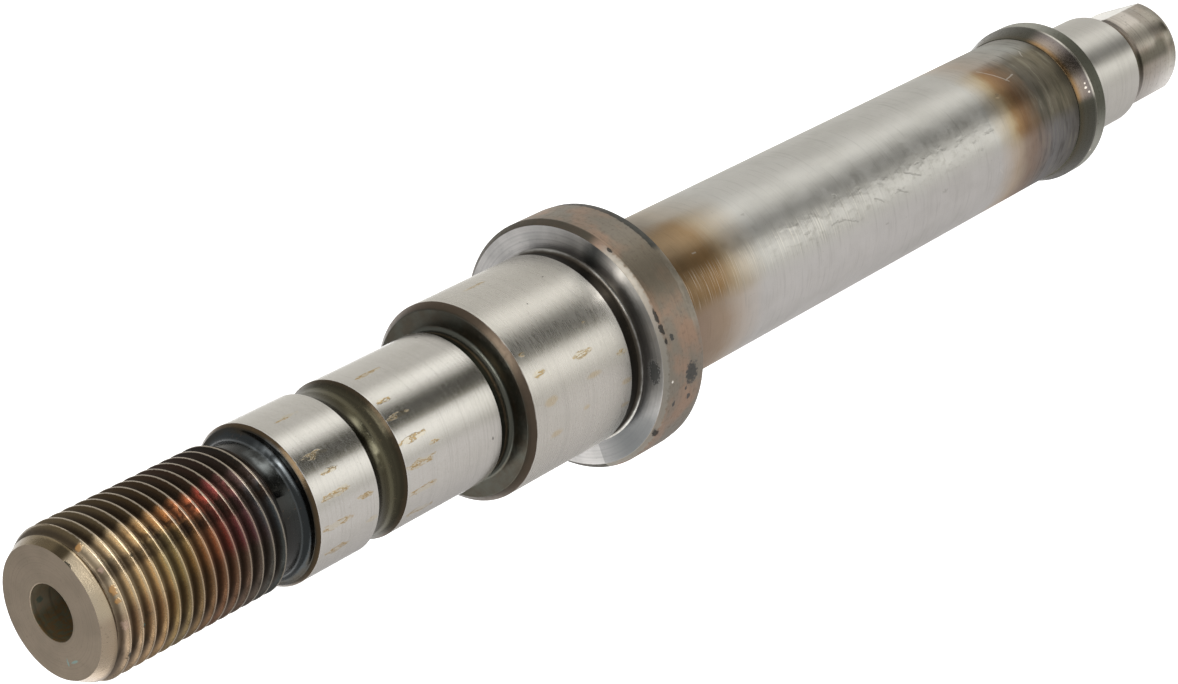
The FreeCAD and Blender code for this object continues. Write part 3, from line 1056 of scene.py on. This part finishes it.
@dataclass
class PumpShaft:
    """The one-piece shaft as a mesh: turned outline, helical thread and milled flats."""

    columns: int = 180
    bore_radius: float = 2.85
    bore_depth: float = 22.0
    bore_point: float = 23.712
    face_edge: float = 0.12
    relief_end: float = 25.5
    relief_radius: float = 7.0
    relief_round: float = 0.9
    hub_radius: float = 8.5
    hub_chamfer: float = 0.4
    ring_start: float = 33.9
    ring_end: float = 37.45
    ring_round: float = 2.5
    ring_lip: float = 0.55
    hub_end: float = 52.0
    seat_start: float = 53.9
    seat_end: float = 69.9
    seat_radius: float = 11.0
    seat_chamfer: float = 0.7
    undercut_depth: float = 0.4
    undercut_round: float = 0.5
    collar_start: float = 71.85
    collar_radius: float = 14.2
    collar_chamfer: float = 0.55
    band_start: float = 77.2
    band_radius: float = 14.1
    shank_start: float = 78.2
    shank_radius: float = 9.5
    shank_round: float = 0.5
    cone_start: float = 164.1
    cone_radius: float = 9.6
    small_collar_start: float = 166.8
    small_collar_radius: float = 10.45
    journal_start: float = 169.1
    journal_end: float = 183.3
    journal_radius: float = 7.5
    journal_chamfer: float = 0.2
    neck_radius: float = 6.5
    drive_start: float = 185.3
    drive_radius: float = 6.9
    drive_round: float = 0.3
    flat_distance: float = 6.0
    sharp_angle: float = 50.0
    thread: Thread = field(default_factory=Thread)
    points: list[Vector] = field(default_factory=list)
    faces: list[tuple[int, ...]] = field(default_factory=list)
    zones: list[Zone] = field(default_factory=list)

    def clocks(self) -> list[float]:
        """Place the mesh's columns, some of them on the flats' edges.

        Returns:
            Their clock readings.
        """
        step = 360 / self.columns
        turns = [step * i for i in range(self.columns)]
        edge = math.degrees(math.acos(self.flat_distance / self.drive_radius))
        for corner in (edge, 180 - edge, 180 + edge, 360 - edge):
            turns[round(corner / step)] = corner
        return [FLAT_CLOCK + turn for turn in turns]

    def inner_outline(self) -> list[Ring]:
        """Draw the bore and the threaded end's face.

        Returns:
            The rings from the drill's point out to the face's rim.
        """
        out = Outline(edge=self.face_edge)
        out.line(Zone.BORE, (self.bore_point, 0.0), (self.bore_depth, self.bore_radius),
                 (0.0, self.bore_radius))
        return out.line(Zone.END_FACE, (0.0, self.thread.face_radius)).eased()

    def undercut(self, out: Outline, start: float, radius: float, end: float) -> None:
        """Add an undercut behind a ground seat: a 45 degree entry and a rounded foot.

        Args:
            out: the outline that it goes on.
            start, radius: where the seat ends, and its radius.
            end: the station of the shoulder behind it.
        """
        foot, bend = radius - self.undercut_depth, self.undercut_round
        out.line(Zone.UNDERCUT, (start + self.undercut_depth, foot), (end - bend, foot))
        out.arc(Zone.UNDERCUT, (end, foot + bend), (end - bend, foot + bend), 5)

    def outer_outline(self) -> list[Ring]:
        """Draw the outside behind the thread.

        Returns:
            The rings from the relief neck to the middle of the drive end's face.
        """
        s, out = self, Outline()
        bend = (s.relief_end - s.relief_round, s.relief_radius + s.relief_round)
        out.line(Zone.RELIEF, (s.thread.end, s.relief_radius), (bend[0], s.relief_radius))
        out.arc(Zone.RELIEF, (s.relief_end, bend[1]), bend, 6)
        out.line(Zone.RELIEF, (s.relief_end, s.hub_radius - s.hub_chamfer),
                 (s.relief_end + s.hub_chamfer, s.hub_radius))
        out.line(Zone.FRONT_HUB, (s.ring_start, s.hub_radius))
        half = Vector((s.ring_end - s.ring_start, -s.ring_lip)) / 2
        away = Vector((-half.y, half.x)).normalized() * math.sqrt(s.ring_round**2 - half.length**2)
        middle = Vector((s.ring_start, s.hub_radius)) + half + away
        out.arc(Zone.RING_GROOVE, (s.ring_end, s.hub_radius - s.ring_lip), tuple(middle), 10)
        out.line(Zone.RING_GROOVE, (s.ring_end + s.ring_lip, s.hub_radius))
        out.line(Zone.REAR_HUB, (s.hub_end, s.hub_radius))
        s.undercut(out, s.hub_end, s.hub_radius, s.seat_start)
        out.line(Zone.UNDERCUT, (s.seat_start, s.seat_radius - s.seat_chamfer),
                 (s.seat_start + s.seat_chamfer, s.seat_radius))
        out.line(Zone.SEAT, (s.seat_end, s.seat_radius))
        s.undercut(out, s.seat_end, s.seat_radius, s.collar_start)
        out.line(Zone.COLLAR_FACE, (s.collar_start, s.collar_radius - s.collar_chamfer))
        bend = (s.shank_start + s.shank_round, s.shank_radius + s.shank_round)
        out.line(Zone.COLLAR, (s.collar_start + s.collar_chamfer, s.collar_radius),
                 (s.band_start, s.collar_radius), (s.shank_start, s.band_radius),
                 (s.shank_start, bend[1]))
        out.arc(Zone.SHANK, (bend[0], s.shank_radius), bend, 4)
        out.line(Zone.SHANK, (s.cone_start, s.shank_radius))
        out.line(Zone.SMALL_COLLAR, (s.cone_start, s.cone_radius),
                 (s.small_collar_start, s.small_collar_radius),
                 (s.journal_start, s.small_collar_radius), (s.journal_start, s.journal_radius))
        out.line(Zone.JOURNAL, (s.journal_end - s.journal_chamfer, s.journal_radius),
                 (s.journal_end, s.journal_radius - s.journal_chamfer))
        bend = (SHAFT_LENGTH - s.drive_round, s.drive_radius - s.drive_round)
        out.line(Zone.DRIVE, (s.journal_end, s.neck_radius), (s.drive_start, s.neck_radius),
                 (s.drive_start, s.drive_radius), (bend[0], s.drive_radius))
        out.arc(Zone.DRIVE, (SHAFT_LENGTH, bend[1]), bend, 3)
        return out.line(Zone.DRIVE, (SHAFT_LENGTH, 0.0)).eased()

    def flattened(self, station: float, radius: float, clock: float) -> float:
        """Cut a point of the drive end back to the flats.

        Args:
            station, radius, clock: the point.

        Returns:
            The radius that is left.
        """
        if station < self.drive_start - TINY or radius <= self.neck_radius + TINY:
            return radius
        lean = abs(math.cos(math.radians(clock - FLAT_CLOCK)))
        return min(radius, self.flat_distance / max(lean, TINY))

    def add_point(self, station: float, radius: float, clock: float) -> int:
        """Add a point and give its number."""
        self.points.append(point_on_shaft(station, radius, clock))
        return len(self.points) - 1

    def add_ring(self, station: float, radius: float) -> list[int]:
        """Add a ring of points, or one point on the axis, and give their numbers."""
        if radius < TINY:
            return [self.add_point(station, 0.0, 0.0)] * self.columns
        return [self.add_point(station, self.flattened(station, radius, clock), clock)
                for clock in self.clocks()]

    def add_face(self, corners: tuple[int, ...], zone: Zone) -> None:
        """Add a face.

        Args:
            corners: the numbers of its points, of which those that fall together count once.
            zone: its zone.
        """
        kept = tuple(dict.fromkeys(corners))
        if len(kept) > 2:
            self.faces.append(kept)
            self.zones.append(zone)

    def turn_skin(self, first: list[int], rings: list[Ring]) -> list[int]:
        """Add the skin of an outline.

        Args:
            first: the points of its first ring.
            rings: the rings after that.

        Returns:
            The points of its last ring.
        """
        for station, radius, zone in rings:
            here = self.add_ring(station, radius)
            for i in range(self.columns):
                j = (i + 1) % self.columns
                self.add_face((first[i], first[j], here[j], here[i]), zone)
            first = here
        return first

    def cut_thread(self, face_rim: list[int], far_rim: list[int]) -> None:
        """Add the helical thread.

        Args:
            face_rim: the points of the end face's rim, where it starts.
            far_rim: the points of the relief neck's first ring, where it ends.
        """
        grid = []
        for i, clock in enumerate(self.clocks()):
            numbers = []
            for station, radius in self.thread.column(clock):
                if station <= 0.0:
                    numbers.append(face_rim[i])
                elif station >= self.thread.end:
                    numbers.append(far_rim[i])
                else:
                    numbers.append(self.add_point(station, radius, clock))
            grid.append(numbers)
        one_turn = len(self.thread.samples())
        for i in range(self.columns):
            j, shift = (i + 1, 0) if i + 1 < self.columns else (0, one_turn)
            for k in range(len(grid[i]) - 1 - shift):
                self.add_face((grid[i][k], grid[j][k + shift], grid[j][k + 1 + shift],
                               grid[i][k + 1]), Zone.THREAD)

    def build(self) -> bpy.types.Object:
        """Build the mesh, smooth it and give each zone its finish.

        Returns:
            The shaft, in the frame's place.
        """
        inner = self.inner_outline()
        face_rim = self.turn_skin(self.add_ring(*inner[0][:2]), inner[1:])
        far_rim = self.add_ring(self.thread.end, self.thread.end_radius)
        self.cut_thread(face_rim, far_rim)
        self.turn_skin(far_rim, self.outer_outline()[1:])
        shaft = skinned("shaft_steel", [tuple(point) for point in self.points], self.faces,
                        finishes())
        mesh = shaft.data
        mesh.polygons.foreach_set("material_index", [zone.value for zone in self.zones])
        mesh.validate()
        mesh.shade_smooth()
        mesh.set_sharp_from_angle(angle=math.radians(self.sharp_angle))
        shaft.modifiers.new("even_shading", "WEIGHTED_NORMAL").keep_sharp = True
        return shaft


# Studio.

@dataclass
class Viewpoint:
    """The camera, turned about its line of sight, as the shaft lay when it was seen."""

    place: tuple[float, float, float] = (-0.21486, -0.04280, 0.33275)
    forward: tuple[float, float, float] = (0.70111, 0.14264, -0.69864)
    up: tuple[float, float, float] = (-0.14182, -0.93232, -0.33267)
    lens: float = 86.23
    sensor: float = 36.0
    reach: tuple[float, float] = (0.01, 20.0)

    def build(self) -> None:
        """Make the camera and set it as the scene's."""
        data = bpy.data.cameras.new("camera")
        data.lens, data.sensor_width = self.lens, self.sensor
        data.clip_start, data.clip_end = self.reach
        camera = placed("camera", data)
        back = -Vector(self.forward).normalized()
        side = Vector(self.up).cross(back).normalized()
        turn = Matrix((side, back.cross(side), back)).transposed().to_4x4()
        camera.matrix_world = Matrix.Translation(self.place) @ turn
        bpy.context.scene.camera = camera


CLEAR_WHITE = (252, 250, 244)
DULL_WHITE = (240, 237, 230)
WARM_WHITE = (244, 239, 221)
COOL_WHITE = (245, 241, 238)


@dataclass(frozen=True)
class FloorCard:
    """A graded studio card that lies round the shaft's foot, where mirrored sight lines land.

    Only such lines meet it: it gives the ground steel its bright and dark bands, and neither
    lights the floor nor shows on it. Its stops are clock readings of the shaft's surface, each
    with the light that this surface then mirrors and its tone.
    """

    name: str = "graded_card"
    step: float = 1.5
    near: float = 6.0
    far: float = 460.0
    lift: float = 0.6
    mirror_radius: float = 9.0
    mirror_stations: tuple[float, float] = (40.0, 150.0)
    strength: float = 1.6
    stops: tuple[tuple[float, float, Tone], ...] = (
        (12.0, 0.92, DULL_WHITE), (52.0, 0.80, DULL_WHITE), (60.0, 1.38, CLEAR_WHITE),
        (65.0, 1.28, CLEAR_WHITE), (74.0, 0.18, WARM_WHITE), (77.5, 0.09, WARM_WHITE),
        (84.0, 0.14, WARM_WHITE), (87.0, 0.36, WARM_WHITE), (90.0, 1.02, CLEAR_WHITE),
        (94.0, 1.34, CLEAR_WHITE), (99.0, 1.28, CLEAR_WHITE), (109.0, 0.78, DULL_WHITE),
        (115.0, 0.88, COOL_WHITE), (130.0, 0.86, COOL_WHITE), (172.0, 0.46, COOL_WHITE))

    def build(self, viewpoint: Viewpoint) -> None:
        """Lay the card.

        Args:
            viewpoint: the camera whose mirrored lines of sight it follows.
        """
        first, last = self.stops[0][0], self.stops[-1][0]
        count = round((last - first) / self.step)
        points, faces, readings = [], [], []
        for i in range(count + 1):
            clock = first + (last - first) * i / count
            ahead, foot = (self.mirrored(Vector(viewpoint.place), station, clock)
                           for station in self.mirror_stations)
            run = (ahead - foot).normalized()
            foot = foot - run * (foot.length - self.near * MM)
            lift = Vector((0, 0, self.lift * MM))
            points += [tuple(foot + lift), tuple(foot + run * self.far * MM + lift)]
            readings += [clock, clock]
            if i:
                faces.append((2 * i - 2, 2 * i - 1, 2 * i + 1, 2 * i))
        card = skinned(self.name, points, faces, [self.glow()])
        reading = card.data.attributes.new("clock", "FLOAT", "POINT")
        reading.data.foreach_set("value", readings)
        card.visible_camera = card.visible_diffuse = card.visible_shadow = False

    def glow(self) -> Material:
        """Grade the card's light along its clock readings.

        Returns:
            The card's material.
        """
        tree = FinishTree(self.name)
        clock = tree.node("ShaderNodeAttribute", {"attribute_name": "clock"}, {}, "Fac")
        shine = tree.ramp(clock, [
            (at, (*(part * light / self.strength for part in linear(tone)[:3]), 1.0))
            for at, light, tone in self.stops])
        tree.send(tree.node("ShaderNodeBsdfPrincipled", {}, {
            "Base Color": linear((0, 0, 0)), "Roughness": 1.0, "Specular IOR Level": 0.0,
            "Emission Color": shine, "Emission Strength": self.strength}))
        return tree.material

    def mirrored(self, eye: Vector, station: float, clock: float) -> Vector:
        """Follow a line of sight that the shaft mirrors.

        Args:
            eye: where it starts.
            station, clock: where it meets the shaft.

        Returns:
            Where it meets the floor.
        """
        normal = outward(clock)
        spot = point_on_shaft(station, self.mirror_radius, clock)
        sight = (spot - eye).normalized()
        bounced = sight - 2 * sight.dot(normal) * normal
        return spot + bounced * (spot.z / -bounced.z)


@dataclass(frozen=True)
class Lamp:
    """A large soft lamp that faces the shaft."""

    name: str
    place: tuple[float, float, float]
    size: float
    power: float
    target: tuple[float, float, float] = (0.0, 0.0, 0.1)

    def build(self) -> None:
        """Hang the lamp and point it at the shaft's middle."""
        data = bpy.data.lights.new(self.name, "AREA")
        data.size, data.energy = self.size, self.power
        lamp = placed(self.name, data)
        lamp.location = self.place
        lamp.rotation_mode = "QUATERNION"
        aim = Vector(self.target) - Vector(self.place)
        lamp.rotation_quaternion = aim.to_track_quat("-Z", "Y")
        lamp.visible_camera = False


@dataclass
class Studio:
    """The pale floor, the surrounding light, the lamps and the card."""

    floor_size: float = 6.0
    floor_colour: Colour = (0.8, 0.8, 0.8, 1.0)
    floor_glow: float = 0.75
    surround: float = 0.62
    lamps: tuple[Lamp, ...] = (
        Lamp("key_lamp", (-0.7, -0.6, 1.3), 0.9, 9.0),
        Lamp("fill_lamp", (0.8, 0.7, 1.2), 1.0, 6.0))
    card: FloorCard = field(default_factory=FloorCard)

    def build(self, viewpoint: Viewpoint) -> None:
        """Make the floor, the world, the lamps and the card.

        Args:
            viewpoint: the camera that the card is laid for.
        """
        self.lay_floor()
        self.light_world()
        for lamp in self.lamps:
            lamp.build()
        self.card.build(viewpoint)

    def lay_floor(self) -> None:
        """Lay the floor at the shaft's foot, with a glow that only direct and mirrored sight meets."""
        material = bpy.data.materials.new("pale_floor")
        tree = NodeTree(material)
        direct, mirrored = (tree.node("ShaderNodeLightPath", {}, {}, f"Is {kind} Ray")
                            for kind in ("Camera", "Glossy"))
        matt = tree.node("ShaderNodeBsdfDiffuse", {}, {"Color": self.floor_colour})
        glow = tree.node("ShaderNodeEmission", {}, {
            "Strength": direct.at_least(mirrored) * self.floor_glow})
        tree.send(tree.node("ShaderNodeAddShader", {}, {0: matt, 1: glow}))
        half = self.floor_size / 2
        corners = [(-half, -half, 0), (half, -half, 0), (half, half, 0), (-half, half, 0)]
        skinned("floor", corners, [(0, 1, 2, 3)], [material])

    def light_world(self) -> None:
        """Surround the shaft with even light, and with white where the camera looks past it."""
        world = bpy.data.worlds.new("studio")
        bpy.context.scene.world = world
        tree = NodeTree(world)
        white = linear((255, 255, 255))
        even, behind = (tree.node("ShaderNodeBackground", {}, {"Color": white, "Strength": light})
                        for light in (self.surround, 1.0))
        seen = tree.node("ShaderNodeLightPath", {}, {}, "Is Camera Ray")
        tree.send(tree.node("ShaderNodeMixShader", {}, {"Fac": seen, 1: even, 2: behind}),
                  "ShaderNodeOutputWorld")


def main() -> None:
    """Build the shaft round the frame, light it and write how large it is."""
    logging.basicConfig(level=logging.INFO, format="%(message)s")
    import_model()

    shaft = PumpShaft().build()
    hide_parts("pump_shaft")
    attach(shaft, "root")
    LOG.info("shaft_steel: %d faces", len(shaft.data.polygons))

    viewpoint = Viewpoint()
    viewpoint.build()
    Studio().build(viewpoint)
    bpy.context.scene.view_settings.view_transform = "Standard"
    LOG.info("studio: camera, floor, card and lamps")


if __name__ == "__main__":
    main()
